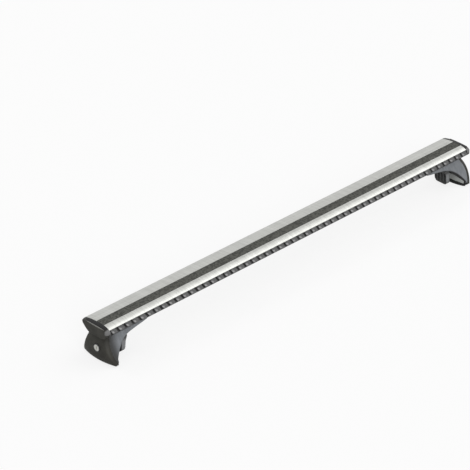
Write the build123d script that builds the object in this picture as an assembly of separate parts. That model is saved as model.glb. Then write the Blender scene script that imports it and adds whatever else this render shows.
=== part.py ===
from build123d import *
import math
import os

# Roof rack crossbar: a hollow aluminium wing profile carried by two lockable feet
# that clamp on the side rails of a car roof.
# X runs along the bar, Y from its front edge to its rear edge, Z up.
# The feet stand on Z = 0 and are centred on X = 0, Y = 0.  All values in mm.
# Distances along the bar are given as distances out from its middle.  The feet are drawn
# for a bar that ends at FOOT_BAR_END and move with the real end of the bar.

os.makedirs("parts", exist_ok=True)

# Bar
BAR_LENGTH = 1080.0            # aluminium profile from end to end
WALL = 2.0                     # wall of the profile
FOOT_BAR_END = 540.0           # end of the bar in the drawing of the feet
BAR_UNDERSIDE = 62.5           # height of the flat land under the bar
LAND_HALF = 13.0               # half width of that land
CROWN_Y = -4.5                 # the arched top is highest over the accessory track
CROWN_Z = 89.7
FRONT_CORNER = (-32.5, 84.0)   # where the bright top ends above the toothed strip
REAR_TOP = (38.5, 84.8)        # start and end of the thin rear edge
REAR_LOW = (38.5, 79.5)
NOSE_LOW = (-31.5, 69.0)       # lower end of the rounded nose
# Control points of the curves between those corners, from the front corner round by the rear
TOP_FRONT_BEND = ((-25.5, 88.2), (-16.5, 89.7))
TOP_REAR_BEND = ((13.5, 89.7), (29.5, 87.6))
REAR_BEND = ((41.9, 83.8), (41.9, 81.3))
LOW_REAR_BEND = ((31.0, 71.5), (23.0, 62.5))
LOW_FRONT_BEND = ((-21.0, 62.5), (-28.0, 64.0))
NOSE_BEND = ((-36.5, 75.0), (-38.5, 80.5))
NOSE_OUT = -35.7               # foremost and rearmost points of the outline
REAR_OUT = 41.1

PAST = 10.0                    # cuts run this far past the face they leave by

# Accessory track in the top of the bar
TRACK_MOUTH = 11.0
TRACK_WIDTH = 22.0
TRACK_HEIGHT = 5.5
TRACK_LIP = 2.2
INFILL_WIDTH = 22.6            # rubber strip that closes the track
INFILL_THICK = 2.2
INFILL_CLEARANCE = 0.1
INFILL_BARB = (2.6, 1.6)       # how far the stem hangs below the track roof, and its barb's reach

# Closed chamber that holds the nut plates
CHAMBER_HALF = 9.0
CHAMBER_HEIGHT = 5.5

# Toothed strip in the front edge
FLANK_TOP = (-29.3, 82.8)      # flat flank of the profile behind the strip
FLANK_LOW = (-26.1, 68.2)
TOOTH_PITCH = 20.0
NOTCH_HALF = 4.6               # half width of a notch at the front
NOTCH_DEPTH = 3.4
NOTCH_LEAN = 34.0              # degrees from upright
NOTCH_FIRST = 5.0              # first notch from the left end of the bar
STRIP_KEY_HEIGHT = 3.0         # rib on its back that locks in the profile
STRIP_KEY_DEPTH = 2.2

# End caps
CAP_THICK = 11.0
CAP_CREASE = 85.5              # height of the level edge between cap slope and cap face
CAP_SLOPE = 4.5                # length of that slope along the bar
CAP_EDGE_RADIUS = 5.0
CAP_DROP = ((0.0, 0.0, 0.0), (5.0, -0.2, -0.4), (9.0, -0.8, -1.5), (11.0, -1.4, -2.8))
PLUG_DEPTH = 12.0
REAR_PLUG = ((12.5, 24.5), (73.0, 84.0))
FRONT_PLUG = ((-20.5, -14.5), (66.5, 75.0))

# Feet at rising levels: height, half width, middle in Y, outer face, rear and front corner radius
FOOT_LEVELS = (
    (0.0, 51.0, 0.0, 544.5, 5.0, 5.0),
    (4.0, 50.0, 0.0, 546.5, 5.0, 5.0),
    (11.0, 46.8, 0.0, 549.6, 6.5, 6.5),
    (22.0, 41.5, 0.4, 552.2, 8.0, 8.5),
    (40.0, 34.0, 2.0, 551.0, 9.0, 10.5),
    (54.0, 27.5, 4.5, 545.5, 9.5, 12.0),
    (70.0, 20.5, 6.5, 537.5, 9.5, 12.0),
)
FACE_RADIUS = 150.0            # bow of the outer face seen from above
AXIS_Y = -4.5                  # lock, bolt and jaw lie in this plane
WING_TIP = 422.0               # inner end of the foot under the bar
WING_TAPER = 2.5               # each side is this much narrower at the wing tip
SADDLE_GAP = 0.3               # foot to bar where the faces are curved
SADDLE_HALF = 12.0             # flat rib on the foot that carries the bar
SADDLE_ENDS = (430.0, 530.0)
WIDE = 80.0                    # cuts right through a foot reach this far to front and rear
UNDER = -5.0                   # and start below the floor
WING_END = ((1.5, 70.0), (3.5, 59.5))  # slope of the wing tip: distance out from it, height

# Underside of the foot, as (distance out, height)
ARCH = (
    (428.0, 55.3), (440.0, 53.2), (453.0, 51.5), (467.0, 49.4), (480.0, 47.2),
    (493.0, 43.4), (506.0, 35.0), (516.5, 24.7), (523.0, 16.5), (526.8, 11.0),
)
ARCH_EDGE_RADIUS = 5.0         # the edge along the arch is well rounded
LEG_TOE = ((526.8, 11.0), (531.8, 7.0), (538.5, 4.0))
TOE_FROM = 44.0                # the toe is rounded off beyond this half width

# Outer cover
COVER_BOTTOM = 4.0
COVER_DEPTH = 9.0              # how far the cover wraps round the corners
COVER_WALL = 3.0
COVER_GAP = 0.4
SPLIT_WIDEN = 6.0              # the split runs out through the sides of the foot
GUIDE_Y = (-16.2, 18.0)        # guide tongues of the cover
GUIDE_ROOT = 544.4
GUIDE_Z = 49.5
GUIDE_WIDE = 5.6
GUIDE_THICK = 3.0
GUIDE_END = 518.0
GUIDE_GAP = 0.2

# Lock
LOCK_Z = 35.0
LOCK_FACE = 552.3
CYLINDER_RADIUS = 7.5
CYLINDER_LENGTH = 14.3
HOUSING_WALL = 2.0
HOUSING_LENGTH = 11.3
CAM_THICK = 2.5
CAM_REACH = 14.0
CAM_WIDTH = 7.0
CAM_BOSS = 1.5                 # round end of the cam beyond its half width
KEY_SLOT = (7.0, 1.3, 8.0)     # deep, wide, high
KEEPER_BELOW = 2.5             # top of the keeper rib below the cylinder
KEEPER_HALF = 10.0
KEEPER_GAP = 2.9               # cam to keeper rib, along the bar
KEEPER_THICK = 2.6

# Clamp bolt, M8, with washer and square nut
BOLT_Z = 51.5
BOLT_RADIUS = 4.0
BOLT_SHORT = 1.0               # its end stays this far inside the jaw
BOLT_SEAT = 524.0              # face the washer rests on
HEAD_RADIUS = 6.5
HEAD_LENGTH = 8.0
HEAD_CHAMFER = 0.8
HEX_ACROSS = 6.0
HEX_DEPTH = 5.0
WASHER_RADIUS = 7.5
WASHER_THICK = 1.6
RUNNING_FIT = 0.06             # radial, for everything that turns
NUT_ACROSS = 13.0
NUT_THICK = 6.5
NUT_FIT = 0.05

# Pocket behind the cover
POCKET_GAP = 2.5               # behind the cam
POCKET_HALF = 20.0
POCKET_HEIGHT = (18.0, 56.0)
HEAD_RECESS_GAP = 0.7          # round the washer

# Clamp jaw; its hook and back are given as (distance out from its inner end, height)
JAW_HALF = 18.0
JAW_HEAD_HALF = 12.0           # the head is narrower than the leg
JAW_SHOULDER = 46.0
JAW_INNER = 484.0              # end of the jaw nearest the middle of the bar
JAW_HEAD = 12.0                # length of its head along the bar
JAW_TOP = 59.0
JAW_NECK = 38.0                # where the head ends and the leg begins
JAW_TRAVEL = 7.0
JAW_GRIP = 14.6                # from its inner end to the flat face that carries the pad
JAW_PAD_HEIGHT = (12.2, 30.6)
JAW_HOOK = ((18.4, 10.4), (18.6, 8.2), (16.5, 6.0), (9.0, 6.0), (6.4, 8.6))
JAW_BACK = ((5.0, 18.0), (3.6, 32.0), (0.0, 42.0))
JAW_CORNER = 12.0
JAW_GAP = 0.3                  # to each side and above
JAW_SPARE = 0.6                # at both ends of its travel
JAW_RIB_DEPTH = 7.4            # slots between the ribs, from the inner end
JAW_SLOTS = (12.0, 38.0)       # height of those slots
JAW_RIBS = 4
JAW_BOLT_GAP = 0.5
PAD_THICK = 2.2
PAD_MARGIN = 1.5               # face left free beside the pad
PAD_RIM = 0.3                  # and above and below it

# Shoe, lip and pad that meet the rail; the first two bow towards it
SHOE_BACK = 527.5
SHOE_CREST = 519.0
SHOE_HALF = 41.0
SHOE_SIDE = 525.5
SHOE_TOP = (12.0, 26.0)        # height of its upper edge at the sides and in the middle
LIP_HALF = 42.0
LIP_TOP = (3.0, 8.5)
LIP_PROUD = 1.3
BOOT_TOP = 8.5                 # the rubber of the lip also closes the leg below this
TOP_PAD_GAP = 0.6              # to the pad of the jaw when it is drawn fully in
TOP_PAD_OUTER = 515.0
TOP_PAD_HALF = 20.0
TOP_PAD_HEIGHT = (30.0, 40.0)

# Screws and nut plate that hold the foot to the bar
SCREW_STATIONS = {"inner": 441.0, "outer": 466.0}
SCREW_RADIUS = 3.0
SCREW_HOLE_RADIUS = 3.3
SCREW_HEAD_RADIUS = 5.0
SCREW_HEAD_LENGTH = 5.0
SCREW_SEAT = 59.0
SCREW_HEX = 5.0
SCREW_HEX_DEPTH = 3.0
SCREW_PAST = 0.5               # beyond the nut plate
COUNTERBORE_RADIUS = 5.4
BORE_LENGTH = 20.0             # more than the wing is thick
PLATE_THICK = 4.0
PLATE_MARGIN = 11.0
PLATE_HALF = 8.8


# Distances out that follow from the lock face, the jaw and its travel.
housing_radius = CYLINDER_RADIUS + RUNNING_FIT + HOUSING_WALL
housing_inner = LOCK_FACE - HOUSING_LENGTH
cylinder_inner = LOCK_FACE - CYLINDER_LENGTH
cam_out = (cylinder_inner - CAM_THICK, cylinder_inner)
pocket_floor = cam_out[0] - POCKET_GAP
keeper_out = (cylinder_inner + KEEPER_GAP, cylinder_inner + KEEPER_GAP + KEEPER_THICK)
keeper_top = LOCK_Z - CYLINDER_RADIUS - KEEPER_BELOW
jaw_outer = JAW_INNER + JAW_HEAD
jaw_face = JAW_INNER + JAW_GRIP
nut_centre = JAW_INNER + JAW_HEAD / 2
bolt_end = JAW_INNER + BOLT_SHORT
pad_out = (jaw_face, jaw_face + PAD_THICK)
top_pad_out = (pad_out[1] + JAW_TRAVEL + TOP_PAD_GAP, TOP_PAD_OUTER)
gap_out = (jaw_face, SHOE_BACK)
reach = (WING_TIP - 2 * PAST, LOCK_FACE + PAST)  # a cut right through a foot


def prism_x(face, start, end):
    """A face drawn in (Y, Z), pushed along X from start to end."""
    return extrude(Plane.YZ.offset(start) * face, amount=end - start)


def prism_y(points, half):
    """A run of (distance out, height) at the left end, pushed to the front and the rear."""
    face = make_face(Polyline(*[(-x, z) for x, z in points], close=True))
    return extrude(Plane.XZ * face, amount=half, both=True)


def block(out, y, z):
    """A box at the left end between two distances out, two values of Y and two heights."""
    size = Box(abs(out[1] - out[0]), abs(y[1] - y[0]), abs(z[1] - z[0]))
    return Pos(-(out[0] + out[1]) / 2, (y[0] + y[1]) / 2, (z[0] + z[1]) / 2) * size


def about_axis(half):
    """The span in Y that reaches this far to each side of the plane of lock and bolt."""
    return (AXIS_Y - half, AXIS_Y + half)


def round_x(radius, out, z):
    """A round bar along X at the left end, in the plane of lock and bolt."""
    middle = Pos(-(out[0] + out[1]) / 2, AXIS_Y, z)
    return middle * Rot(0, 90, 0) * Cylinder(radius, abs(out[1] - out[0]))


def hexagon_x(across, out, z):
    """A six-sided bar along X at the left end, in the plane of lock and bolt."""
    face = Pos(AXIS_Y, z) * RegularPolygon(across / 2, 6, major_radius=False)
    return prism_x(face, -max(out), -min(out))


def band(half, z, middle=0.0):
    """A rectangle in (Y, Z) centred on Y = middle."""
    return Pos(middle, (z[0] + z[1]) / 2) * Rectangle(2 * half, z[1] - z[0])


def rectangle(y, z):
    """A rectangle in (Y, Z) between two values on each axis."""
    return band((y[1] - y[0]) / 2, z, (y[0] + y[1]) / 2)


def grown(face, distance):
    """The face grown or shrunk evenly, its curved edges redrawn as splines."""
    runs = []
    for edge in offset(face, distance).face().outer_wire().order_edges():
        steps = 1 if edge.geom_type == GeomType.LINE else 8
        runs.append([edge @ (step / steps) for step in range(steps + 1)])
    if (runs[0][0] - runs[1][0]).length < 0.001 or (runs[0][0] - runs[1][-1]).length < 0.001:
        runs[0].reverse()
    for last, run in zip(runs, runs[1:]):
        if (run[0] - last[-1]).length > (run[-1] - last[-1]).length:
            run.reverse()
        run[0] = last[-1]
    runs[-1][-1] = runs[0][0]
    return make_face([Line(*run) if len(run) == 2 else Spline(*run) for run in runs])


def wing_outline():
    """Outline of the end caps; the bar has the same one less the seat of the strip."""
    crown = (CROWN_Y, CROWN_Z)
    rear_land = (LAND_HALF, BAR_UNDERSIDE)
    front_land = (-LAND_HALF, BAR_UNDERSIDE)
    return make_face([
        Bezier(FRONT_CORNER, *TOP_FRONT_BEND, crown),
        Bezier(crown, *TOP_REAR_BEND, REAR_TOP),
        Bezier(REAR_TOP, *REAR_BEND, REAR_LOW),
        Bezier(REAR_LOW, *LOW_REAR_BEND, rear_land),
        Line(rear_land, front_land),
        Bezier(front_land, *LOW_FRONT_BEND, NOSE_LOW),
        Bezier(NOSE_LOW, *NOSE_BEND, FRONT_CORNER),
    ])


# The bar

wing = wing_outline()
seat_low = FLANK_LOW[1] - 3.0
in_front = ((NOSE_LOW[0], seat_low), (NOSE_OUT - PAST, seat_low), (NOSE_OUT - PAST, FRONT_CORNER[1]))
strip_seat = make_face(Polyline(FRONT_CORNER, FLANK_TOP, FLANK_LOW, *in_front, close=True))
profile_outline = wing - strip_seat

flank_middle = Pos((FLANK_TOP[0] + FLANK_LOW[0]) / 2, (FLANK_TOP[1] + FLANK_LOW[1]) / 2)
flank_lean = math.degrees(math.atan2(FLANK_LOW[0] - FLANK_TOP[0], FLANK_TOP[1] - FLANK_LOW[1]))


def strip_key(extra):
    """Section of the rib on the back of the strip, with extra all round."""
    rib = Rectangle(2 * (STRIP_KEY_DEPTH + extra), STRIP_KEY_HEIGHT + 2 * extra)
    return flank_middle * Rot(0, 0, flank_lean) * rib


infill_floor = CROWN_Z - INFILL_THICK
track_roof = infill_floor - TRACK_LIP
track_floor = track_roof - TRACK_HEIGHT
chamber_floor = BAR_UNDERSIDE + WALL
chamber_roof = chamber_floor + CHAMBER_HEIGHT
above = CROWN_Z + PAST
below = BAR_UNDERSIDE - PAST

# Three long hollows lie between the outer wall, the track, the nut chamber and two webs.
track_box = band(TRACK_WIDTH / 2 + WALL, (track_floor - WALL, above), CROWN_Y)
chamber_box = band(CHAMBER_HALF + WALL, (below, chamber_roof + WALL))
webs = band(CHAMBER_HALF + WALL, (chamber_roof, track_floor))
webs -= band(CHAMBER_HALF, (chamber_roof + WALL, track_floor - WALL))
hollows = grown(profile_outline, -WALL) - track_box - chamber_box - webs - strip_key(WALL)

section = profile_outline - hollows - strip_key(INFILL_CLEARANCE)
section -= band(TRACK_WIDTH / 2, (track_floor, track_roof), CROWN_Y)
section -= band(TRACK_MOUTH / 2, (track_roof - 1.0, above), CROWN_Y)
section -= band(INFILL_WIDTH / 2, (infill_floor, above), CROWN_Y)
section -= band(CHAMBER_HALF, (chamber_floor, chamber_roof))

half_bar = BAR_LENGTH / 2
foot_shift = half_bar - FOOT_BAR_END
crossbar = prism_x(section, -half_bar, half_bar)
for side in (-1, 1):
    for station in SCREW_STATIONS.values():
        hole = Cylinder(SCREW_HOLE_RADIUS, 4 * WALL)
        crossbar -= Pos(side * (station + foot_shift), 0, BAR_UNDERSIDE) * hole

# Rubber strip in the track: a wide head flush with the arch, a stem and a barb.
head = wing & band(INFILL_WIDTH / 2 - INFILL_CLEARANCE, (infill_floor, above), CROWN_Y)
barb_drop, barb_reach = INFILL_BARB
barb_z = (track_roof - barb_drop, track_roof - INFILL_CLEARANCE)
stem = band(TRACK_MOUTH / 2 - INFILL_CLEARANCE, (barb_z[0], infill_floor), CROWN_Y)
barb = band(TRACK_MOUTH / 2 + barb_reach, barb_z, CROWN_Y)
infill = prism_x(head + stem + barb, -half_bar, half_bar)

# Strip along the front edge, with leaning notches that leave a row of teeth.
toothed_strip = prism_x((wing & strip_seat) + strip_key(0.0), -half_bar, half_bar)
notch_plan = make_face(Polyline(
    (0, NOSE_OUT + NOTCH_DEPTH), (NOTCH_HALF, NOSE_OUT), (NOTCH_HALF, NOSE_OUT - PAST),
    (-NOTCH_HALF, NOSE_OUT - PAST), (-NOTCH_HALF, NOSE_OUT), close=True))
notch = Rot(0, -NOTCH_LEAN, 0) * extrude(notch_plan, amount=2 * PAST, both=True)
nose_middle = (FRONT_CORNER[1] + NOSE_LOW[1]) / 2
for index in range(round(BAR_LENGTH / TOOTH_PITCH)):
    x = -half_bar + NOTCH_FIRST + index * TOOTH_PITCH
    toothed_strip -= Pos(x, 0, nose_middle) * notch


# One end, drawn at the left (X < 0)

# End cap: the outline of the bar, domed towards its face, its top cut down to a level crease.
cap_face = half_bar + CAP_THICK
dome = loft([
    Plane.YZ.offset(-half_bar - out) * Pos(dy, dz) * wing for out, dy, dz in reversed(CAP_DROP)
], ruled=True)
cap = prism_x(wing, -cap_face, -half_bar) & dome
cap_plan = Pos(-half_bar, (NOSE_OUT + REAR_OUT) / 2) * Rectangle(
    2 * CAP_THICK, REAR_OUT - NOSE_OUT)
cap_plan = fillet(cap_plan.vertices().sort_by(Axis.X)[:2], CAP_EDGE_RADIUS)
cap &= Plane.XY.offset(below) * extrude(cap_plan, amount=above - below)
crest = cap_face - CAP_SLOPE
cap -= prism_y([
    (crest, CROWN_Z), (cap_face, CAP_CREASE), (cap_face + PAST, CAP_CREASE),
    (cap_face + PAST, above), (crest, above),
], WIDE)
for plug in (REAR_PLUG, FRONT_PLUG):
    cap += prism_x(rectangle(*plug), -half_bar, -half_bar + PLUG_DEPTH)


def under_arc(half, side_z, middle_z):
    """Region in (Y, Z) below an arc that is highest in the middle."""
    return make_face([
        ThreePointArc((-half, side_z), (0, middle_z), (half, side_z)),
        Polyline((half, side_z), (half, UNDER), (-half, UNDER), (-half, side_z)),
    ])


def foot_form(inset=0.0, widen=0.0, ruled=False):
    """Outer form of the foot, its face moved in by inset, each side out by widen."""
    levels = []
    for z, half, middle, face_out, rear_corner, front_corner in FOOT_LEVELS:
        half = half + widen
        front, rear = middle - half, middle + half
        crest = face_out - inset
        at_side = crest - half * half / (2 * FACE_RADIUS)
        face = make_face([
            ThreePointArc((-at_side, front), (-crest, middle), (-at_side, rear)),
            Polyline((-at_side, rear), (-WING_TIP, half - WING_TAPER),
                     (-WING_TIP, WING_TAPER - half), (-at_side, front)),
        ])
        for pick, corner in ((0, front_corner), (-1, rear_corner)):
            outer = face.vertices().sort_by(Axis.X)[:2] if pick == 0 else face.vertices()
            outer = [vertex for vertex in outer if vertex.X < -WING_TIP - 1]
            radius = max(corner + min(widen, 0.0), 2.0)
            face = fillet(sorted(outer, key=lambda vertex: vertex.Y)[pick], radius)
        levels.append(Plane.XY.offset(z) * face)
    return loft(levels, ruled=ruled)


def foot_underside():
    """Space under the wing tip, the wing and the arch, left of the middle of the bar."""
    curve = [(-x, z) for x, z in ARCH]
    first, last = curve[0], curve[-1]
    tip = [(-WING_TIP - out, z) for out, z in WING_END]
    return make_face([
        Polyline(last, (last[0], UNDER), (-reach[0], UNDER), (-reach[0], tip[0][1]), *tip, first),
        Spline(*curve),
    ])


def along_arch(edge):
    """True for the edges where arch and leg meet the front and the rear of a foot."""
    middle = edge @ 0.5
    within = ARCH[0][0] < -middle.X < ARCH[-1][0] + 1.0 and 0.0 < middle.Z < ARCH[0][1]
    return within and abs(middle.Y) > SADDLE_HALF


def slab(low, high):
    """All of a foot between two heights."""
    return block(reach, (-WIDE, WIDE), (low, high))


foot_block = foot_form() - prism_x(grown(wing, SADDLE_GAP), -reach[1], -reach[0])
foot_block -= extrude(Plane.XZ * foot_underside(), amount=WIDE, both=True)
foot_block = fillet(foot_block.edges().filter_by(along_arch), ARCH_EDGE_RADIUS)
toe_start, toe_end = LEG_TOE[0], LEG_TOE[-1]
toe = prism_y([*LEG_TOE, (toe_end[0], UNDER), (jaw_face, UNDER), (jaw_face, toe_start[1])], WIDE)
foot_block -= toe - block(reach, (-TOE_FROM, TOE_FROM), (UNDER, toe_start[1]))


# Cover: the outer shell of the foot, with the lock hole and two guide tongues.
floor = COVER_BOTTOM + COVER_WALL
cavity = foot_form(COVER_WALL, -COVER_WALL, ruled=True)
cavity &= slab(floor, JAW_TOP)
cover = foot_block - foot_form(COVER_DEPTH, SPLIT_WIDEN) - cavity
cover -= slab(UNDER, COVER_BOTTOM)
cover -= round_x(housing_radius, (pocket_floor, reach[1]), LOCK_Z)
for middle in GUIDE_Y:
    y = (middle - GUIDE_WIDE / 2, middle + GUIDE_WIDE / 2)
    z = (GUIDE_Z - GUIDE_THICK / 2, GUIDE_Z + GUIDE_THICK / 2)
    cover += block((GUIDE_END, GUIDE_ROOT), y, z)

# Lock: housing in the cover, cylinder with key slot, cam on its inner end.
lock_housing = round_x(housing_radius, (housing_inner, reach[1]), LOCK_Z) & foot_form()
lock_housing -= round_x(CYLINDER_RADIUS + RUNNING_FIT, (pocket_floor, reach[1]), LOCK_Z)
lock_cylinder = round_x(CYLINDER_RADIUS, (cylinder_inner, LOCK_FACE), LOCK_Z)
slot_deep, slot_wide, slot_high = KEY_SLOT
slot_z = (LOCK_Z - slot_high / 2, LOCK_Z + slot_high / 2)
lock_cylinder -= block(
    (LOCK_FACE - slot_deep, LOCK_FACE + 1), about_axis(slot_wide / 2), slot_z)
cam_z = (LOCK_Z - CAM_WIDTH / 2, LOCK_Z + CAM_WIDTH / 2)
lock_cam = block(cam_out, (AXIS_Y, AXIS_Y + CAM_REACH), cam_z)
lock_cam += round_x(CAM_WIDTH / 2 + CAM_BOSS, cam_out, LOCK_Z)

# Body: saddle, wing, arch and outer leg behind the cover; rubber closes the end of the leg.
inner_form = foot_block & foot_form(COVER_DEPTH + COVER_GAP, SPLIT_WIDEN)
boot = inner_form & block((SHOE_BACK, reach[1]), (-WIDE, WIDE), (UNDER, BOOT_TOP))
body = inner_form - slab(UNDER, BOOT_TOP)
body += block(SADDLE_ENDS, (-SADDLE_HALF, SADDLE_HALF), (BAR_UNDERSIDE - 2.0, BAR_UNDERSIDE))
body -= block((pocket_floor, reach[1]), about_axis(POCKET_HALF), POCKET_HEIGHT)
body -= round_x(WASHER_RADIUS + HEAD_RECESS_GAP, (BOLT_SEAT, reach[1]), BOLT_Z)
body -= round_x(BOLT_RADIUS + RUNNING_FIT, (nut_centre, BOLT_SEAT), BOLT_Z)
jaw_pocket = (JAW_INNER - JAW_SPARE, jaw_outer + JAW_TRAVEL + JAW_SPARE)
body -= block(jaw_pocket, about_axis(JAW_HALF + JAW_GAP), (UNDER, JAW_SHOULDER + JAW_GAP))
body -= block(jaw_pocket, about_axis(JAW_HEAD_HALF + JAW_GAP), (UNDER, JAW_TOP + JAW_GAP))
body -= prism_x(under_arc(LIP_HALF, *SHOE_TOP), -gap_out[1], -gap_out[0])
body -= block(top_pad_out, (-TOP_PAD_HALF, TOP_PAD_HALF), (UNDER, TOP_PAD_HEIGHT[1]))
for middle in GUIDE_Y:
    slot_half = GUIDE_WIDE / 2 + GUIDE_GAP
    y = (middle - slot_half, middle + slot_half)
    z = (GUIDE_Z - GUIDE_THICK / 2 - GUIDE_GAP, GUIDE_Z + GUIDE_THICK / 2 + GUIDE_GAP)
    body -= block((GUIDE_END - WALL, reach[1]), y, z)
keeper_foot = (POCKET_HEIGHT[0] - KEEPER_THICK, POCKET_HEIGHT[0])
body += block((pocket_floor, keeper_out[1]), about_axis(KEEPER_HALF), keeper_foot)
body += block(keeper_out, about_axis(KEEPER_HALF), (keeper_foot[0], keeper_top))
for station in SCREW_STATIONS.values():
    body -= Pos(-station, 0, BAR_UNDERSIDE) * Cylinder(SCREW_HOLE_RADIUS, BORE_LENGTH)
    bore_middle = SCREW_SEAT - BORE_LENGTH / 2
    body -= Pos(-station, 0, bore_middle) * Cylinder(COUNTERBORE_RADIUS, BORE_LENGTH)

# Bolt with its washer, and the nut that the jaw carries.
head_out = (BOLT_SEAT + WASHER_THICK, BOLT_SEAT + WASHER_THICK + HEAD_LENGTH)
clamp_bolt = round_x(HEAD_RADIUS, head_out, BOLT_Z)
clamp_bolt = chamfer(clamp_bolt.edges().sort_by(Axis.X)[0], HEAD_CHAMFER)
clamp_bolt += round_x(BOLT_RADIUS, (bolt_end, head_out[0]), BOLT_Z)
clamp_bolt -= hexagon_x(HEX_ACROSS, (head_out[1] - HEX_DEPTH, head_out[1] + 1), BOLT_Z)
washer = round_x(WASHER_RADIUS, (BOLT_SEAT, head_out[0]), BOLT_Z)
washer -= round_x(BOLT_RADIUS + RUNNING_FIT, reach, BOLT_Z)
nut_out = (nut_centre - NUT_THICK / 2, nut_centre + NUT_THICK / 2)
nut_half = NUT_ACROSS / 2
clamp_nut = block(nut_out, about_axis(nut_half), (BOLT_Z - nut_half, BOLT_Z + nut_half))
clamp_nut -= round_x(BOLT_RADIUS + RUNNING_FIT, reach, BOLT_Z)

# Jaw: head in the pocket of the body, leg with ribs behind and a hook below the pad.
jaw = Pos(0, AXIS_Y, 0) * prism_y([
    (JAW_INNER, JAW_TOP), (jaw_outer, JAW_TOP), (jaw_outer, JAW_NECK),
    (jaw_face, JAW_PAD_HEIGHT[1] + PAD_RIM), (jaw_face, JAW_PAD_HEIGHT[0] - PAD_RIM),
    *[(JAW_INNER + out, z) for out, z in JAW_HOOK + JAW_BACK],
], JAW_HALF)
jaw_shape = rectangle(about_axis(JAW_HALF), (JAW_HOOK[2][1], JAW_SHOULDER))
jaw_shape = fillet(jaw_shape.vertices().sort_by(Axis.Y)[:2], JAW_CORNER)
jaw_shape += rectangle(about_axis(JAW_HEAD_HALF), (JAW_SHOULDER - WALL, JAW_TOP))
jaw &= prism_x(jaw_shape, -reach[1], -reach[0])
rib_pitch = 2 * JAW_HALF / JAW_RIBS
for index in range(JAW_RIBS):
    y = AXIS_Y - JAW_HALF + (index + 0.5) * rib_pitch
    slot_y = (y - rib_pitch / 3, y + rib_pitch / 3)
    jaw -= block((reach[0], JAW_INNER + JAW_RIB_DEPTH), slot_y, JAW_SLOTS)
nut_slot = (nut_out[0] - NUT_FIT, nut_out[1] + NUT_FIT)
jaw -= block(nut_slot, about_axis(nut_half + NUT_FIT), (BOLT_Z - nut_half, JAW_TOP + PAST))
jaw -= round_x(BOLT_RADIUS + JAW_BOLT_GAP, reach, BOLT_Z)
jaw_pad = block(pad_out, about_axis(JAW_HALF - PAD_MARGIN), JAW_PAD_HEIGHT)

# Shoe and lip on the outer leg, bowed towards the rail, and the pad above the rail.
def bowed(crest, side, half, z):
    """A plate with a flat back against the leg and a bowed face towards the rail."""
    face = make_face([
        ThreePointArc((-side, -half), (-crest, 0), (-side, half)),
        Polyline((-side, half), (-SHOE_BACK, half), (-SHOE_BACK, -half), (-side, -half)),
    ])
    return extrude(Plane.XY.offset(z[0]) * face, amount=z[1] - z[0])


lip_edge = prism_x(under_arc(LIP_HALF, *LIP_TOP), -gap_out[1], -gap_out[0])
shoe_edge = prism_x(under_arc(SHOE_HALF, *SHOE_TOP), -gap_out[1], -gap_out[0])
rail_shoe = bowed(SHOE_CREST, SHOE_SIDE, SHOE_HALF, (LIP_TOP[0], SHOE_TOP[1]))
rail_shoe = (rail_shoe & shoe_edge) - lip_edge
rail_lip = bowed(SHOE_CREST - LIP_PROUD, SHOE_SIDE, LIP_HALF, (0.0, LIP_TOP[1])) & lip_edge
rail_lip += boot
rail_pad = block(top_pad_out, (-TOP_PAD_HALF, TOP_PAD_HALF), TOP_PAD_HEIGHT)

# Nut plate in the closed chamber of the bar, and the two screws that draw it down.
stations = sorted(SCREW_STATIONS.values())
plate_out = (stations[0] - PLATE_MARGIN, stations[-1] + PLATE_MARGIN)
plate_z = (chamber_floor, chamber_floor + PLATE_THICK)
nut_plate = block(plate_out, (-PLATE_HALF, PLATE_HALF), plate_z)
screws = {}
for name, station in SCREW_STATIONS.items():
    thread = Cylinder(SCREW_RADIUS + RUNNING_FIT, BORE_LENGTH)
    nut_plate -= Pos(-station, 0, chamber_floor) * thread
    end_z = chamber_floor + PLATE_THICK + SCREW_PAST
    shank = Cylinder(SCREW_RADIUS, end_z - SCREW_SEAT)
    screw = Pos(-station, 0, (end_z + SCREW_SEAT) / 2) * shank
    head_middle = SCREW_SEAT - SCREW_HEAD_LENGTH / 2
    screw += Pos(-station, 0, head_middle) * Cylinder(SCREW_HEAD_RADIUS, SCREW_HEAD_LENGTH)
    socket = RegularPolygon(SCREW_HEX / 2, 6, major_radius=False)
    under_head = SCREW_SEAT - SCREW_HEAD_LENGTH
    socket = extrude(socket, amount=SCREW_HEX_DEPTH)
    screw -= Pos(-station, 0, under_head) * socket
    screws[name] = screw


# Export: one file for each piece, the right end mirrored from the left

single = {
    "crossbar_extrusion": crossbar,
    "top_rubber_strip": infill,
    "toothed_edge_strip": toothed_strip,
}
paired = {
    "end_cap": cap,
    "foot_body": body,
    "foot_cover": cover,
    "lock_housing": lock_housing,
    "lock_cylinder": lock_cylinder,
    "lock_cam": lock_cam,
    "clamp_bolt": clamp_bolt,
    "bolt_washer": washer,
    "clamp_nut": clamp_nut,
    "clamp_jaw": jaw,
    "jaw_pad": jaw_pad,
    "rail_shoe": rail_shoe,
    "rail_lip": rail_lip,
    "rail_pad": rail_pad,
    "nut_plate": nut_plate,
    "foot_screw_inner": screws["inner"],
    "foot_screw_outer": screws["outer"],
}
for name, piece in single.items():
    export_step(piece, f"parts/{name}.step")
for name, piece in paired.items():
    if name != "end_cap":
        piece = Pos(-foot_shift, 0, 0) * piece
    export_step(piece, f"parts/{name}_left.step")
    export_step(mirror(piece, about=Plane.YZ), f"parts/{name}_right.step")
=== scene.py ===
import math

import bpy
import numpy as np
from mathutils import Matrix, Vector


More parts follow.
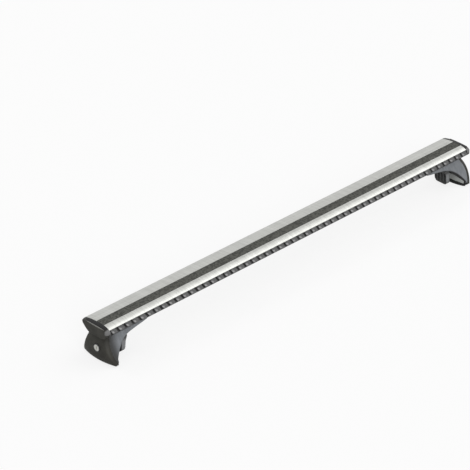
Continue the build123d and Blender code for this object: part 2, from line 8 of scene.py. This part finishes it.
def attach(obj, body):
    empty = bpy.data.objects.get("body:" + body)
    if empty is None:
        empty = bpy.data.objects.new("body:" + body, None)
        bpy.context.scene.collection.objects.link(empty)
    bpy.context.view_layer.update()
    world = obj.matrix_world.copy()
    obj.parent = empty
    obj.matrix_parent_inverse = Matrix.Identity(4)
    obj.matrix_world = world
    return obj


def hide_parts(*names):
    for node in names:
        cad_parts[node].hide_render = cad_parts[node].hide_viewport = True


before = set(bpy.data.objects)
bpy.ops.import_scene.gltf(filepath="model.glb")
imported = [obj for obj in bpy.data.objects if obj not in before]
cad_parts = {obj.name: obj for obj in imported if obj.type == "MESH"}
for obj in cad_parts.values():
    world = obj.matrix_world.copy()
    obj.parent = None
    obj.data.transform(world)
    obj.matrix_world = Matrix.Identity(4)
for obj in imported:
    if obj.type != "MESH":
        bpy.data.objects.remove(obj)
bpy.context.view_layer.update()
scene = bpy.context.scene
scene.view_settings.view_transform = "Standard"


# Viewpoint
# A long lens stands well back from the left front of the bar and looks down on it,
# so that the edges of the profile run almost parallel across the picture.
HEADING = math.radians(44.342)
DIP = math.radians(30.604)
STANDPOINT = (-3.81871, -3.75026, 3.23663)
FOCAL_PIXELS = 2902.83
PICTURE_PIXELS = 470
SENSOR_WIDTH = 36.0            # in millimetres, the unit of a lens
FAR_CLIP = 50.0

ahead = Vector((
    math.sin(HEADING) * math.cos(DIP), math.cos(HEADING) * math.cos(DIP), -math.sin(DIP)))
across = Vector((math.cos(HEADING), -math.sin(HEADING), 0.0))
upward = across.cross(ahead)
lens = bpy.data.cameras.new("long_lens")
lens.sensor_width = SENSOR_WIDTH
lens.lens = FOCAL_PIXELS / PICTURE_PIXELS * SENSOR_WIDTH
lens.clip_end = FAR_CLIP
viewpoint = bpy.data.objects.new("viewpoint", lens)
scene.collection.objects.link(viewpoint)
turn = Matrix((across, upward, -ahead)).transposed()
viewpoint.matrix_world = Matrix.Translation(STANDPOINT) @ turn.to_4x4()
scene.camera = viewpoint


# Studio floor and light
# A plain white sweep under an even white room. The front slope of the bar mirrors a broad
# lamp high beyond the far end; one more stands at the left front and a small one behind.
class Signal:
    """A socket in a material: arithmetic adds Math nodes, node() adds any other node."""

    def __init__(self, tree, socket=None):
        self.tree = tree
        self.socket = socket

    def node(self, kind, settings=None, output=0, **inputs):
        """Adds a node. Inputs go by socket name, or by i and the socket's number."""
        made = self.tree.nodes.new(kind)
        for name, value in (settings or {}).items():
            setattr(made, name, value)
        for name, value in inputs.items():
            numbered = name[0] == "i" and name[1:].isdigit()
            socket = made.inputs[int(name[1:]) if numbered else name.replace("_", " ")]
            if isinstance(value, Signal):
                self.tree.links.new(value.socket, socket)
            else:
                socket.default_value = value
        return Signal(self.tree, made.outputs[output] if made.outputs else None)

    def math(self, operation, *others):
        """A Math node that starts from this value."""
        places = {f"i{index}": value for index, value in enumerate((self, *others))}
        return self.node("ShaderNodeMath", {"operation": operation}, **places)

    def __add__(self, other):
        return self.math("ADD", other)

    __radd__ = __add__

    def __mul__(self, other):
        return self.math("MULTIPLY", other)

    __rmul__ = __mul__

    def __sub__(self, other):
        return self.math("SUBTRACT", other)

    def __rsub__(self, other):
        return self * -1.0 + other

    def __truediv__(self, other):
        return self.math("DIVIDE", other)

    def other_output(self, name):
        """Another output of the node that this value comes from."""
        return Signal(self.tree, self.socket.node.outputs[name])

    def rise(self, low, high):
        """0 up to low and 1 from high on, smooth between; low may be the larger of the two."""
        return self.node("ShaderNodeMapRange", {"interpolation_type": "SMOOTHSTEP"},
                         Value=self, From_Min=low, From_Max=high)

    def tint(self, first, second):
        """The first colour where this value is 0, the second where it is 1."""
        return self.node("ShaderNodeMix", {"data_type": "RGBA"}, output=2,
                         i0=self, i6=first, i7=second)


def shade(red, green=None, blue=None):
    """An opaque colour; one value gives a neutral grey."""
    return (red, red if green is None else green, red if blue is None else blue, 1.0)


def new_material(name):
    """A material with an empty tree, and a Signal to start its nodes from."""
    material = bpy.data.materials.new(name)
    material.use_nodes = True
    material.node_tree.nodes.clear()
    return material, Signal(material.node_tree)


FLOOR_HALF = 12.0
FLOOR_TO_OBJECT = 0.80         # how white the floor is as it lights the object
FLOOR_TO_CAMERA = 0.98
SEEN_GLOW = 0.80               # share of the floor's white that the camera sees without light
paper, start = new_material("white_floor")
looked_at = start.node("ShaderNodeLightPath")
floor_colour = looked_at.tint(shade(FLOOR_TO_OBJECT), shade(FLOOR_TO_CAMERA))
lit = start.node("ShaderNodeBsdfDiffuse", Color=floor_colour)
glow = start.node("ShaderNodeEmission", Color=shade(1.0), Strength=1.0)
mixed = start.node("ShaderNodeMixShader", i0=looked_at * SEEN_GLOW, i1=lit, i2=glow)
start.node("ShaderNodeOutputMaterial", Surface=mixed)
sweep = bpy.data.meshes.new("floor")
sweep.from_pydata([(x, y, 0.0) for x, y in (
    (-FLOOR_HALF, -FLOOR_HALF), (FLOOR_HALF, -FLOOR_HALF),
    (FLOOR_HALF, FLOOR_HALF), (-FLOOR_HALF, FLOOR_HALF))], [], [(0, 1, 2, 3)])
sweep.materials.append(paper)
floor = bpy.data.objects.new("floor", sweep)
scene.collection.objects.link(floor)

ROOM = 0.50                    # strength of the white room on the object
world = bpy.data.worlds.new("studio")
world.use_nodes = True
world.node_tree.nodes.clear()
start = Signal(world.node_tree)
path = start.node("ShaderNodeLightPath")
shown = path + path.other_output("Is Glossy Ray") + path.other_output("Is Transmission Ray")
strength = ROOM + (1.0 - ROOM) * shown.math("MINIMUM", 1.0)
room = start.node("ShaderNodeBackground", Color=shade(1.0), Strength=strength)
start.node("ShaderNodeOutputWorld", Surface=room)
scene.world = world

LAMPS = {                      # towards the lamp, strength, spread in degrees
    "slope_lamp": ((0.60, -0.22, 0.77), 0.66, 46.0),
    "left_front_lamp": ((-0.42, -0.78, 0.46), 0.95, 34.0),
    "edge_lamp": ((-0.20, 0.62, 0.75), 0.30, 22.0),
}
for name, (towards, power, spread) in LAMPS.items():
    lamp = bpy.data.lights.new(name, "SUN")
    lamp.energy = power
    lamp.angle = math.radians(spread)
    lamp_object = bpy.data.objects.new(name, lamp)
    lamp_object.rotation_euler = Vector(towards).to_track_quat("Z", "Y").to_euler()
    scene.collection.objects.link(lamp_object)


# Crossbar profile
# A hollow wing drawn through a die in aluminium and anodised in a satin silver.
# The die leaves long streaks on it, and the brushing before the bath a faint cross grain.
def finish(start, **inputs):
    """Ends a material's nodes in a Principled surface with these socket values."""
    start.node("ShaderNodeOutputMaterial", Surface=start.node("ShaderNodeBsdfPrincipled", **inputs))


def stretched(start, scale, detail=2.0, rough=0.5):
    """Noise from 0 to 1 in object space; scale is its cells in a metre along X, Y and Z."""
    place = start.node("ShaderNodeTexCoord", output=3)
    spread = start.node("ShaderNodeVectorMath", {"operation": "MULTIPLY"}, i0=place, i1=scale)
    return start.node("ShaderNodeTexNoise", Vector=spread, Scale=1.0, Detail=detail,
                      Roughness=rough)


def relief(start, height, depth, edge=0.0):
    """A normal from a height that goes from 0 to 1 over depth, on edges softened to a radius."""
    below = {}
    if edge:
        below["Normal"] = start.node("ShaderNodeBevel", {"samples": 6}, Radius=edge)
    return start.node("ShaderNodeBump", Height=height, Distance=depth, Strength=1.0, **below)


def dress(material, *names):
    """Gives a material to CAD nodes of these names, both ends of a pair at once."""
    for name in names:
        for node in (name, f"{name}_left", f"{name}_right"):
            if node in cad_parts:
                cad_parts[node].material_slots[0].material = material


STREAKS = (1.6, 300.0, 300.0)
DIE_LINES = (3.0, 1400.0, 1400.0)
CROSS_BRUSHING = (330.0, 16.0, 16.0)
SILVER = (shade(0.426, 0.430, 0.409), shade(0.566, 0.570, 0.546))
anodised, start = new_material("anodised_aluminium")
streaks = stretched(start, STREAKS, detail=3.0)
die_lines = stretched(start, DIE_LINES)
brushing = stretched(start, CROSS_BRUSHING, detail=3.0, rough=0.6)
tone = 0.30 * streaks + 0.20 * die_lines + 0.50 * brushing
finish(
    start,
    Base_Color=tone.rise(0.32, 0.68).tint(*SILVER),
    Metallic=1.0,
    Roughness=0.27 + 0.14 * streaks,
    Normal=relief(start, 0.5 * die_lines + 0.3 * streaks + 0.2 * brushing,
                  depth=0.00007, edge=0.0004),
)
dress(anodised, "crossbar_extrusion")


# Rubber strip
# An extruded strip of grey-black rubber pushed into the accessory track, flush with the arch.
# Its top has faint ribs along its length and a matt, dusty surface, paler to the front, and
# painted shadow darkens both edges where it meets the metal.
def place_of(start):
    """The three object coordinates as separate values."""
    x = start.node("ShaderNodeSeparateXYZ", Vector=start.node("ShaderNodeTexCoord", output=3))
    return x, x.other_output("Y"), x.other_output("Z")


STRIP_MIDDLE, STRIP_HALF = -0.0045, 0.0112
RIB_PITCH = 0.0028
EDGE_SHADOW = (STRIP_HALF - 0.0022, STRIP_HALF - 0.0004)       # from the middle of the strip
PALER_PER_METRE, PALER_AT_MIDDLE = -10.0, 0.03
STRIP_GREY = (shade(0.030, 0.0305, 0.026), shade(0.088, 0.089, 0.077))
EDGE_SHADOW_BLACK = shade(0.018)
strip_rubber, start = new_material("strip_rubber")
from_middle = place_of(start)[1] - STRIP_MIDDLE
ribs = 0.5 + 0.5 * (from_middle * (2 * math.pi / RIB_PITCH)).math("SINE")
dust = stretched(start, (260.0, 700.0, 700.0), detail=4.0, rough=0.6)
patches = stretched(start, (14.0, 60.0, 60.0), detail=2.0)
# Painted shadow: both edges of the strip go black along the gap to the metal.
edge = from_middle.math("ABSOLUTE").rise(*EDGE_SHADOW)
grain = stretched(start, (240.0, 240.0, 240.0), detail=3.0, rough=0.6).rise(0.35, 0.65)
tone = 0.15 * dust + 0.15 * ribs + 0.10 * patches + 0.60 * grain
# Paler towards the front of the strip.
paler_to_front = tone + from_middle * PALER_PER_METRE + PALER_AT_MIDDLE
top_colour = paler_to_front.rise(0.25, 0.75).tint(*STRIP_GREY)
finish(
    start,
    Base_Color=edge.tint(top_colour, EDGE_SHADOW_BLACK),
    Roughness=0.64 + 0.2 * dust,
    Specular_IOR_Level=0.40,
    Normal=relief(start, 0.8 * ribs + 0.2 * dust, depth=0.00014),
)
dress(strip_rubber, "top_rubber_strip")


# Toothed strip
# A strip of dark moulded plastic keyed into the front edge of the profile.
# Painted shade darkens the sheltered wall of each notch and both edges of the strip, and a
# painted highlight makes the other wall of each notch pale.
STRIP_START, NOTCH_FIRST, TOOTH_PITCH = -0.540, 0.005, 0.020
NOTCH_LEAN = math.radians(34.0)
NOSE_MIDDLE = 0.0765
SHADE_STARTS, SHADE_ENDS = (0.0130, 0.0158), (0.0016, 0.0002)  # along one pitch from its notch
HIGHLIGHT_STARTS, HIGHLIGHT_ENDS = (0.0008, 0.0026), (0.0070, 0.0040)
HIGHLIGHT_LOW, HIGHLIGHT_HIGH = (0.0722, 0.0762), (0.0818, 0.0790)       # heights
LOW_EDGE_SHADE, TOP_EDGE_SHADE = (0.0735, 0.0690), (0.0800, 0.0822)
LOW_EDGE_SHADE_SHARE, TOP_EDGE_SHADE_SHARE = 0.8, 0.28
TOOTH_GREY, TOOTH_HIGHLIGHT, TOOTH_SHADE_BLACK = (shade(0.095), shade(0.165)), shade(0.44), shade(0.004)
tooth_plastic, start = new_material("tooth_plastic")
x, _, z = place_of(start)
along = x + (z - NOSE_MIDDLE) * math.tan(NOTCH_LEAN)
off_notch = ((along - (STRIP_START + NOTCH_FIRST)) / TOOTH_PITCH).math("FRACT") * TOOTH_PITCH
scuffs = stretched(start, (300.0, 300.0, 300.0), detail=4.0, rough=0.65)
flow = stretched(start, (30.0, 500.0, 500.0))
# Painted shade on one wall of each notch and along both edges; painted highlight on the other wall.
notch_and_edge_shade = off_notch.rise(*SHADE_STARTS).math("MAXIMUM", off_notch.rise(*SHADE_ENDS))
notch_and_edge_shade = notch_and_edge_shade.math("MAXIMUM", z.rise(*LOW_EDGE_SHADE) * LOW_EDGE_SHADE_SHARE)
notch_and_edge_shade = notch_and_edge_shade.math("MAXIMUM", z.rise(*TOP_EDGE_SHADE) * TOP_EDGE_SHADE_SHARE)
wall_highlight = off_notch.rise(*HIGHLIGHT_STARTS) * off_notch.rise(*HIGHLIGHT_ENDS)
wall_highlight = wall_highlight * z.rise(*HIGHLIGHT_LOW) * z.rise(*HIGHLIGHT_HIGH)
face = (0.6 * scuffs + 0.4 * flow).rise(0.25, 0.75).tint(*TOOTH_GREY)
shaded_and_lit = notch_and_edge_shade.tint(wall_highlight.tint(face, TOOTH_HIGHLIGHT), TOOTH_SHADE_BLACK)
finish(
    start,
    Base_Color=shaded_and_lit,
    Roughness=0.34 + 0.22 * scuffs,
    Specular_IOR_Level=0.30,
    Normal=relief(start, scuffs, depth=0.00008, edge=0.0004),
)
dress(tooth_plastic, "toothed_edge_strip")


# End caps and outer covers
# Dark weatherproof plastic with a fine spark-eroded grain, the same on caps and covers.
# The slope on top of a cap is darkened with painted shade, its nose is pale with the grey of the
# toothed strip and a painted highlight, and a fine bead along its crease is pale as a painted
# highlight.
def tube_piece(name, points, closed, material, body):
    """A piece from points on a grid (U, V, 3), where each row along V is one closed ring.

    Each cell is a face. A closed tube joins its last ring to its first; an open one gets one
    face at each end. The faces are turned round where the volume, the sum over the cells of
    corner . (corner x corner) as seen from the middle, comes out negative."""
    rows, columns, _ = points.shape
    mesh = bpy.data.meshes.new(name)
    index = np.arange(rows * columns).reshape(rows, columns)
    here = index if closed else index[:-1]
    beyond = np.roll(index, -1, axis=0) if closed else index[1:]
    corners = (here, np.roll(here, -1, axis=1), np.roll(beyond, -1, axis=1), beyond)
    faces = np.stack([corner.reshape(-1) for corner in corners], axis=1)
    corner_points = points.reshape(-1, 3)
    middle = corner_points.mean(axis=0)
    one, two, three = (corner_points[faces[:, place]] - middle for place in (0, 1, 2))
    inward = np.sum(one * np.cross(two, three)) < 0
    faces = (faces[:, ::-1] if inward else faces).tolist()
    if not closed:
        ends = [index[0, ::-1].tolist(), index[-1].tolist()]
        faces += [end[::-1] for end in ends] if inward else ends
    mesh.from_pydata(corner_points.tolist(), [], faces)
    mesh.shade_smooth()
    mesh.materials.append(material)
    piece = bpy.data.objects.new(name, mesh)
    scene.collection.objects.link(piece)
    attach(piece, body)
    return piece


def surface(x, y, z):
    """Points (U, V, 3) from the three coordinates, each spread over the whole grid."""
    return np.stack(np.broadcast_arrays(x, y, z), axis=-1)


def all_round(count):
    """The angles of a count of points spaced evenly round a circle, as a row."""
    return np.linspace(0.0, 2 * math.pi, count + 1)[None, :-1]


ENDS = (("left", -1.0), ("right", 1.0))
SPARKS = (1500.0, 1500.0, 1500.0)
SLOPE_SHADE = (0.0850, 0.0862)            # heights between which the painted slope shade sets in
NOSE_FRONT = (-0.0285, -0.0315)
NOSE_LOW, NOSE_HIGH = (0.0745, 0.0775), (0.0872, 0.0858)
CAP_BLACK = (shade(0.021, 0.0202, 0.0162), shade(0.044, 0.0424, 0.0350))
SLOPE_SHADE_BLACK, NOSE_PALE_HIGHLIGHT = shade(0.004), shade(0.17)
dark_plastic, start = new_material("dark_plastic")
cloud = stretched(start, (38.0, 38.0, 38.0), detail=3.0)
sparks = stretched(start, SPARKS, detail=2.0, rough=0.7)
_, y, z = place_of(start)
moulded = (0.7 * cloud + 0.3 * sparks).rise(0.3, 0.7).tint(*CAP_BLACK)
# Painted shade: above these heights the slope on top of a cap is made nearly black.
slope_shaded = z.rise(*SLOPE_SHADE).tint(moulded, SLOPE_SHADE_BLACK)
# The nose is pale with the toothed strip's grey and a painted highlight.
nose = y.rise(*NOSE_FRONT) * z.rise(*NOSE_LOW) * z.rise(*NOSE_HIGH)
finish(
    start,
    Base_Color=nose.tint(slope_shaded, NOSE_PALE_HIGHLIGHT),
    Roughness=0.42 + 0.16 * sparks,
    Specular_IOR_Level=0.28,
    Normal=relief(start, sparks, depth=0.00005, edge=0.0012),
)
dress(dark_plastic, "end_cap", "foot_cover")

# Painted highlight: the bead along the crease of each cap is pale grey where the crease catches
# light.
BEAD_HIGHLIGHT_GREY = (shade(0.13, 0.128, 0.118), shade(0.24, 0.236, 0.22))
crease_highlight_plastic, start = new_material("crease_highlight_plastic")
sparks = stretched(start, SPARKS, detail=2.0, rough=0.7)
finish(
    start,
    Base_Color=sparks.tint(*BEAD_HIGHLIGHT_GREY),
    Roughness=0.34 + 0.12 * sparks,
    Normal=relief(start, sparks, depth=0.00003),
)
BEAD_OUT, BEAD_Z = 0.5502, 0.0861
BEAD_FRONT, BEAD_BACK = -0.0275, 0.0262
BEAD_RADIUS, BEAD_TIP = 0.0011, 0.00002
along = np.linspace(0.0, 1.0, 61)[:, None]
around = all_round(16)
taper = np.sqrt(np.clip(np.sin(math.pi * along), 0.0, 1.0)) * BEAD_RADIUS + BEAD_TIP
for side, sign in ENDS:
    points = surface(
        sign * (BEAD_OUT + taper * np.cos(around)),
        BEAD_FRONT + (BEAD_BACK - BEAD_FRONT) * along,
        BEAD_Z + taper * np.sin(around))
    tube_piece(f"cap_crease_highlight_bead_{side}", points, False, crease_highlight_plastic, "bar_and_feet")


# Locks
# A satin nickel cylinder face turned on a lathe, in a black moulded ring in the cover.
# A rounded collar stands round the ring and is thicker below.
LOCK_Y, LOCK_Z = -0.0045, 0.035
TURNING_LINES = 9000.0                 # noise cells in a metre from the middle outwards
RIM = (0.0063, 0.0073)
NICKEL, RIM_NICKEL = (shade(0.62, 0.62, 0.57), shade(0.80, 0.80, 0.75)), shade(0.50)
lock_face, start = new_material("lock_nickel")
_, y, z = place_of(start)
radius = ((y - LOCK_Y) * (y - LOCK_Y) + (z - LOCK_Z) * (z - LOCK_Z)).math("SQRT")
turned = start.node("ShaderNodeTexNoise", {"noise_dimensions": "1D"},
                    W=radius * TURNING_LINES, Scale=1.0, Detail=2.0)
finish(
    start,
    Base_Color=radius.rise(*RIM).tint(turned.tint(*NICKEL), RIM_NICKEL),
    Metallic=1.0,
    Roughness=0.30 + 0.18 * turned,
    Normal=relief(start, turned, depth=0.00003, edge=0.0004),
)
dress(lock_face, "lock_cylinder")

RING_BLACK = (shade(0.006), shade(0.014))
lock_ring, start = new_material("lock_ring_plastic")
specks = stretched(start, (1200.0, 1200.0, 1200.0), detail=2.0)
finish(
    start,
    Base_Color=specks.tint(*RING_BLACK),
    Roughness=0.34 + 0.1 * specks,
    Normal=relief(start, specks, depth=0.00003, edge=0.0005),
)
dress(lock_ring, "lock_housing")

COLLAR_OUT, COLLAR_RADIUS = 0.5517, 0.0096
COLLAR_HALF, MORE_BELOW = 0.00045, 0.0008                    # half its thickness
turn_about = all_round(96).T
round_section = all_round(16)
thick = COLLAR_HALF + MORE_BELOW * np.clip(-np.sin(turn_about), 0.0, 1.0) ** 3
ring = COLLAR_RADIUS + thick * np.cos(round_section)
for side, sign in ENDS:
    points = surface(
        sign * (COLLAR_OUT + thick * np.sin(round_section)),
        LOCK_Y + ring * np.cos(turn_about),
        LOCK_Z + ring * np.sin(turn_about))
    tube_piece(f"lock_collar_{side}", points, True, lock_ring, f"cover_{side}")


# Foot bodies
# Glass-filled plastic in a blue grey, moulded in one piece with saddle, wing, arch and leg.
# The satin skin has faint flow marks down the leg, and painted shade blackens it under the arch.
# Both are darker towards the bottom, and the left one has painted shade along its seam with the
# cover.
FACE_OUT, FACE_MIDDLE_Z, FACE_BULGE = 0.5523, 0.030, 9.8     # outer face of the foot
FACE_RADIUS, COVER_DEPTH = 0.150, 0.0090
FOOT_PLACE = 0.5                       # how far out along the bar a foot stands
INWARDS, DOWNWARDS = (-0.30, -0.60), (-0.45, -0.75)          # parts of a face's normal
SEAM_SHADE, DARKER_LOW = (0.028, 0.004), (0.015, 0.003)         # from the seam, and in height
LOW_SHARE, DARKENING_SHARE = 0.70, 0.95
BLUE_GREY = (shade(0.157, 0.169, 0.183), shade(0.227, 0.239, 0.255))
SHADE_AND_LOW_GREY, ARCH_SHADE_BLACK = shade(0.022, 0.022, 0.021), shade(0.010)
foot_plastic, start = new_material("foot_plastic")
flow = stretched(start, (170.0, 120.0, 10.0), detail=3.0)
mottle = stretched(start, (45.0, 45.0, 45.0), detail=3.0)
sparks = stretched(start, (1300.0, 1300.0, 1300.0), detail=2.0)
tone = (0.6 * flow + 0.4 * mottle).rise(0.3, 0.7)
x, y, z = place_of(start)
facing = start.node("ShaderNodeSeparateXYZ", Vector=start.node("ShaderNodeNewGeometry", output=1))
# Painted shade: faces under the arch that turn inwards or down are made black.
arch_shade_mask = (facing * x / FOOT_PLACE).rise(*INWARDS)
arch_shade_mask = arch_shade_mask.math("MAXIMUM", facing.other_output("Z").rise(*DOWNWARDS))
face_out = FACE_OUT - (z - FACE_MIDDLE_Z) * (z - FACE_MIDDLE_Z) * FACE_BULGE
seam_out = face_out - y * y * (0.5 / FACE_RADIUS) - COVER_DEPTH
from_left_seam = seam_out + x
# Painted shade along the left foot's seam with the cover; both feet darker towards the bottom.
seam_shade_and_darker_low = from_left_seam.rise(*SEAM_SHADE).math("MAXIMUM", z.rise(*DARKER_LOW) * LOW_SHARE)
with_seam_shade = (seam_shade_and_darker_low * DARKENING_SHARE).tint(tone.tint(*BLUE_GREY), SHADE_AND_LOW_GREY)
finish(
    start,
    Base_Color=arch_shade_mask.tint(with_seam_shade, ARCH_SHADE_BLACK),
    Roughness=0.40 + 0.16 * sparks,
    Normal=relief(start, 0.6 * flow + 0.4 * sparks, depth=0.00006, edge=0.0010),
)
dress(foot_plastic, "foot_body")


# Shoe, lip and pads at the rail
# The shoe is a light grey moulding; lip, jaw pad and rail pad are soft black rubber.
# The rubber wraps the end of the leg and ends in a thick roll along the foot of the shoe.
LIGHT_GREY = (shade(0.31, 0.325, 0.315), shade(0.52, 0.535, 0.515))
shoe_plastic, start = new_material("shoe_plastic")
mottle = stretched(start, (60.0, 60.0, 60.0), detail=3.0)
finish(
    start,
    Base_Color=mottle.tint(*LIGHT_GREY),
    Roughness=0.45 + 0.15 * mottle,
    Normal=relief(start, mottle, depth=0.0001, edge=0.0014),
)
dress(shoe_plastic, "rail_shoe")

RUBBER_BLACK = (shade(0.006), shade(0.024))
black_rubber, start = new_material("black_rubber")
bloom = stretched(start, (350.0, 350.0, 350.0), detail=4.0, rough=0.6)
finish(
    start,
    Base_Color=bloom.tint(*RUBBER_BLACK),
    Roughness=0.62 + 0.2 * bloom,
    Specular_IOR_Level=0.35,
    Normal=relief(start, bloom, depth=0.00008, edge=0.0014),
)
dress(black_rubber, "rail_lip", "jaw_pad", "rail_pad")

LIP_CREST, LIP_BOW, LIP_REACH = 0.5177, 0.117, 0.0475        # place, radius, half length
ROLL_RADIUS, ROLL_Z, ROLL_SET_IN = 0.0036, 0.0046, 0.0030
END_TURN, END_TURN_POWER = 0.0040, 12                        # its ends turn outwards
END_TAPER, END_TIP = 8.0, 0.02
across_rail = np.linspace(-LIP_REACH, LIP_REACH, 81)[:, None]
round_roll = all_round(24)
bow = LIP_CREST + LIP_BOW - np.sqrt(LIP_BOW ** 2 - across_rail ** 2)
bow = bow + END_TURN * (across_rail / LIP_REACH) ** END_TURN_POWER
from_end = END_TAPER * (1.0 - np.abs(across_rail) / LIP_REACH)
thick = ROLL_RADIUS * np.sqrt(np.clip(from_end, END_TIP, 1.0))
for side, sign in ENDS:
    points = surface(
        sign * (bow + ROLL_SET_IN + thick * np.cos(round_roll)),
        across_rail,
        ROLL_Z + thick * np.sin(round_roll))
    tube_piece(f"lip_roll_{side}", points, False, black_rubber, "bar_and_feet")


# Clamp jaws
# A zinc die casting under a thick black coat, with ribs behind and a hook below the pad.
# The coat is uneven and a little worn, and the two sawn ends are left bare.
JAW_MIDDLE, JAW_HALF = -0.0045, 0.0180
SAWN = (JAW_HALF - 0.0009, JAW_HALF - 0.0004)                # from the middle of the jaw
SAWN_LOW, SAWN_HIGH = (0.0060, 0.0160), (0.0410, 0.0330)
COAT_BLACK = (shade(0.022), shade(0.080))
BARE_ZINC = (shade(0.16, 0.165, 0.17), shade(0.26, 0.265, 0.27))
jaw_coat, start = new_material("jaw_black_coat")
peel = stretched(start, (700.0, 700.0, 700.0), detail=2.0)
wear = stretched(start, (120.0, 120.0, 120.0), detail=3.0)
_, y, z = place_of(start)
sawn = (y - JAW_MIDDLE).math("ABSOLUTE").rise(*SAWN) * z.rise(*SAWN_LOW) * z.rise(*SAWN_HIGH)
coat = (0.5 * peel + 0.5 * wear).rise(0.3, 0.7).tint(*COAT_BLACK)
finish(
    start,
    Base_Color=sawn.tint(coat, wear.tint(*BARE_ZINC)),
    Roughness=0.36 + 0.2 * peel,
    Normal=relief(start, peel, depth=0.00008, edge=0.0009),
)
dress(jaw_coat, "clamp_jaw")


# Nuts, washers, plates, screws and cams
# Small parts stamped or turned from steel that hold the feet to the bar and work the clamps
# and locks. Their zinc plating is slightly yellow and cloudy.
ZINC = (shade(0.46, 0.46, 0.44), shade(0.62, 0.61, 0.56))
zinc_plate, start = new_material("zinc_plated_steel")
spangle = stretched(start, (260.0, 260.0, 260.0), detail=3.0)
wear = stretched(start, (900.0, 900.0, 900.0), detail=3.0)
finish(
    start,
    Base_Color=spangle.tint(*ZINC),
    Metallic=1.0,
    Roughness=0.32 + 0.2 * wear,
    Normal=relief(start, wear, depth=0.00003, edge=0.0003),
)
dress(zinc_plate, "bolt_washer", "clamp_nut", "nut_plate", "foot_screw_inner",
      "foot_screw_outer", "lock_cam", "clamp_bolt")


# Clamp bolts
# A steel socket-head bolt, M8 with 1.25 mm pitch: rolled thread, knurled head, hexagon socket.
# It turns in the outer leg of the foot and draws the jaw with the nut.
BOLT_Y, BOLT_Z = -0.0045, 0.0515
BOLT_TIP, BOLT_HEAD, BOLT_TOP = 0.485, 0.5256, 0.5336
THREAD_RADIUS, THREAD_DEPTH, THREAD_PITCH = 0.0040, 0.00065, 0.00125
HEAD_RADIUS, KNURL_DEPTH, KNURLS = 0.0065, 0.00018, 40
TIP_CHAMFER, SHANK_GAP, THREAD_END, THREAD_RUN_OUT = 0.0004, 0.0002, 0.0010, 0.0015
HEAD_EDGE, TOP_CHAMFER = 0.0006, 0.0008
SOCKET_HALF, SOCKET_DEPTH, SOCKET_CHAMFER, SOCKET_CONE = 0.0030, 0.0050, 0.0003, 0.0004
HUB_RADIUS = 0.0005                    # the small ring that closes each end


def socket_bolt(sign):
    """A profile of (place along the axis, radius) turned round the axis.

    On the shank the radius drops by a triangle wave of (place / pitch - angle / full turn),
    on the head by a sine of the angle, and in the socket it is the half width across flats
    over the cosine of the angle from the nearest flat."""
    angle = all_round(160)
    shank = np.linspace(BOLT_TIP + TIP_CHAMFER, BOLT_HEAD - SHANK_GAP, 260)[:, None]
    wave = np.abs(((shank / THREAD_PITCH - angle / (2 * math.pi)) % 1.0) * 2.0 - 1.0)
    fade = np.clip((BOLT_HEAD - THREAD_END - shank) / THREAD_RUN_OUT, 0.0, 1.0)
    thread = THREAD_RADIUS - THREAD_DEPTH * wave * fade
    chamfer = BOLT_TOP - TOP_CHAMFER
    head = np.array([                  # place along the axis, share of the knurl's depth
        (BOLT_HEAD, 0.0), (BOLT_HEAD + HEAD_EDGE / 2, 0.3), (BOLT_HEAD + HEAD_EDGE, 1.0),
        (chamfer - HEAD_EDGE, 1.0), (chamfer, 0.5), (chamfer, 0.0)])
    knurl = HEAD_RADIUS - KNURL_DEPTH * head[:, 1:] * (0.5 + 0.5 * np.sin(KNURLS * angle))
    flat = SOCKET_HALF / np.cos((angle + math.pi / 6) % (math.pi / 3) - math.pi / 6)
    socket_floor = BOLT_TOP - SOCKET_DEPTH
    profile = [                        # place along the axis, radius
        (BOLT_TIP, HUB_RADIUS),
        (BOLT_TIP, THREAD_RADIUS - THREAD_DEPTH),
        (shank, thread),
        (BOLT_HEAD, THREAD_RADIUS),
        (head[:, :1], knurl),
        (BOLT_TOP, HEAD_RADIUS - TOP_CHAMFER),
        (BOLT_TOP, flat + SOCKET_CHAMFER),
        (BOLT_TOP - SOCKET_CHAMFER, flat),
        (socket_floor, flat),
        (socket_floor - SOCKET_CONE, HUB_RADIUS),
    ]
    rings = [np.broadcast_arrays(place, radius + 0 * angle) for place, radius in profile]
    places, radii = (np.concatenate(part) for part in zip(*rings))
    return surface(
        sign * places, BOLT_Y + radii * np.cos(angle), BOLT_Z + radii * np.sin(angle))


for side, sign in ENDS:
    bolt = tube_piece(f"threaded_bolt_{side}", socket_bolt(sign), False, zinc_plate,
                      f"bolt_{side}")
    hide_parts(f"clamp_bolt_{side}")
